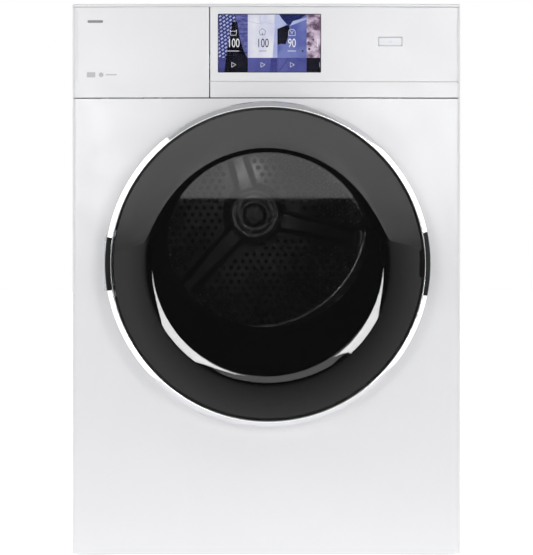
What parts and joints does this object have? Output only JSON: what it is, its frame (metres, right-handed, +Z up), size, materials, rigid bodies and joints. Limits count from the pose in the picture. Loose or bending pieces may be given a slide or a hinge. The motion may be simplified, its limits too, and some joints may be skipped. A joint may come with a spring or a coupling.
{
  "type": "clothes dryer",
  "caption": "Compact front-loading tumble dryer with a round smoked porthole door in a chrome ring, a touch display and a pull-out condensate tank.",
  "frame": {"origin": "on the floor under the middle of the machine's overall box, feet at z = 0", "axes": "+Z up, the front faces -Y, +X to the right of someone who faces the front"},
  "size_m": [0.595, 0.64, 0.85],
  "materials": {
    "white_paint": "semi-gloss white powder coat",
    "white_plastic": "satin white moulding",
    "grey_plastic": "fine-grained grey moulding",
    "dark_plastic": "black satin moulding",
    "pale_plastic": "natural translucent moulding",
    "chrome": "mirror chrome plate",
    "smoked_plastic": "smoked see-through cover, polished",
    "door_glass": "clear pressed glass",
    "rubber": "matte black rubber",
    "felt": "pressed wool felt",
    "zinc_steel": "zinc-plated pressed steel",
    "drum_steel": "bright stainless steel",
    "aluminium": "mill-finish aluminium",
    "black_paint": "satin black enamel",
    "circuit_board": "green solder mask",
    "black_glass": "touch glass, polished",
    "lit_screen": "lit colour screen"
  },
  "bodies": {
    "cabinet": {"left_side_panel": "white_paint", "right_side_panel": "white_paint", "top_cover": "white_paint", "front_panel": "white_paint", "control_panel": "white_plastic", "base_tray": "grey_plastic", "tank_housing": "grey_plastic", "front_bulkhead": "grey_plastic", "fan_housing": "grey_plastic", "air_duct": "grey_plastic", "display_frame": "dark_plastic", "condensate_pump": "dark_plastic", "lint_filter": "dark_plastic", "door_lock": "dark_plastic", "cable_inlet": "dark_plastic", "tank_fill_hose": "rubber", "door_seal": "rubber", "drive_belt": "rubber", "rear_felt_ring": "felt", "rear_panel": "zinc_steel", "rear_duct_cover": "zinc_steel", "hinge_bracket": "zinc_steel", "hinge_pin": "zinc_steel", "rear_bulkhead": "zinc_steel", "bearing_housing": "zinc_steel", "drum_bearing": "zinc_steel", "evaporator": "aluminium", "condenser": "aluminium", "motor": "black_paint", "compressor": "black_paint", "control_board": "circuit_board", "display_glass": "black_glass", "display_panel": "lit_screen"},
    "door": {"door_ring": "chrome", "door_grip": "dark_plastic", "hinge_cap": "dark_plastic", "door_cover": "smoked_plastic", "door_frame": "dark_plastic", "door_glass": "door_glass", "latch_hook": "zinc_steel", "hinge_arm": "zinc_steel"},
    "drawer": {"drawer_front": "white_plastic", "water_tank": "pale_plastic"},
    "drum": {"drum_shell": "drum_steel", "drum_rear_wall": "drum_steel", "drum_baffle_1": "grey_plastic", "drum_baffle_2": "grey_plastic", "drum_baffle_3": "grey_plastic", "drum_spider": "aluminium"},
    "motor_rotor": {"motor_shaft": "zinc_steel", "fan_wheel": "dark_plastic"},
    "tensioner": {"idler_arm": "zinc_steel"},
    "idler": {"idler_pulley": "dark_plastic"},
    "roller_1": {"drum_roller_1": "dark_plastic"},
    "roller_2": {"drum_roller_2": "dark_plastic"},
    "power_key": {"power_button": "white_plastic"},
    "foot_1": {"levelling_foot_1": "rubber"},
    "foot_2": {"levelling_foot_2": "rubber"},
    "foot_3": {"levelling_foot_3": "rubber"},
    "foot_4": {"levelling_foot_4": "rubber"}
  },
  "joints": [
    {"name": "door_hinge", "type": "hinge", "parent": "cabinet", "child": "door", "pos_m": [-0.24, -0.299, 0.454], "axis": [0, 0, -1], "range_deg": [0, 155]},
    {"name": "tank_slide", "type": "slide", "parent": "cabinet", "child": "drawer", "axis": [0, -1, 0], "range_m": [0, 0.4]},
    {"name": "drum_spin", "type": "hinge", "parent": "cabinet", "child": "drum", "pos_m": [0, 0, 0.525], "axis": [0, 1, 0], "continuous": true},
    {"name": "motor_spin", "type": "hinge", "parent": "cabinet", "child": "motor_rotor", "pos_m": [0.165, 0, 0.115], "axis": [0, 1, 0], "continuous": true},
    {"name": "tensioner_pivot", "type": "hinge", "parent": "cabinet", "child": "tensioner", "pos_m": [0.04, 0.16, 0.162], "axis": [0, -1, 0], "range_deg": [0, 8], "stiffness_Nm_per_rad": 4, "springref_deg": -14.32},
    {"name": "idler_spin", "type": "hinge", "parent": "tensioner", "child": "idler", "pos_m": [0.095, 0.173, 0.138], "axis": [0, 1, 0], "continuous": true},
    {"name": "roller_1_spin", "type": "hinge", "parent": "cabinet", "child": "roller_1", "pos_m": [-0.13417, -0.23, 0.27265], "axis": [0, 1, 0], "continuous": true},
    {"name": "roller_2_spin", "type": "hinge", "parent": "cabinet", "child": "roller_2", "pos_m": [0.13417, -0.23, 0.27265], "axis": [0, 1, 0], "continuous": true},
    {"name": "power_key_press", "type": "slide", "parent": "cabinet", "child": "power_key", "axis": [0, 1, 0], "range_m": [0, 0.0015], "stiffness_N_per_m": 500, "springref_m": -0.001},
    {"name": "foot_1_screw", "type": "slide", "parent": "cabinet", "child": "foot_1", "axis": [0, 0, -1], "range_m": [0, 0.012]},
    {"name": "foot_2_screw", "type": "slide", "parent": "cabinet", "child": "foot_2", "axis": [0, 0, -1], "range_m": [0, 0.012]},
    {"name": "foot_3_screw", "type": "slide", "parent": "cabinet", "child": "foot_3", "axis": [0, 0, -1], "range_m": [0, 0.012]},
    {"name": "foot_4_screw", "type": "slide", "parent": "cabinet", "child": "foot_4", "axis": [0, 0, -1], "range_m": [0, 0.012]}
  ],
  "couplings": [
    {"joint": "motor_spin", "follows": "drum_spin", "ratio": 29.444},
    {"joint": "idler_spin", "follows": "drum_spin", "ratio": 18.929},
    {"joint": "roller_1_spin", "follows": "drum_spin", "ratio": -13.25},
    {"joint": "roller_2_spin", "follows": "drum_spin", "ratio": -13.25}
  ]
}
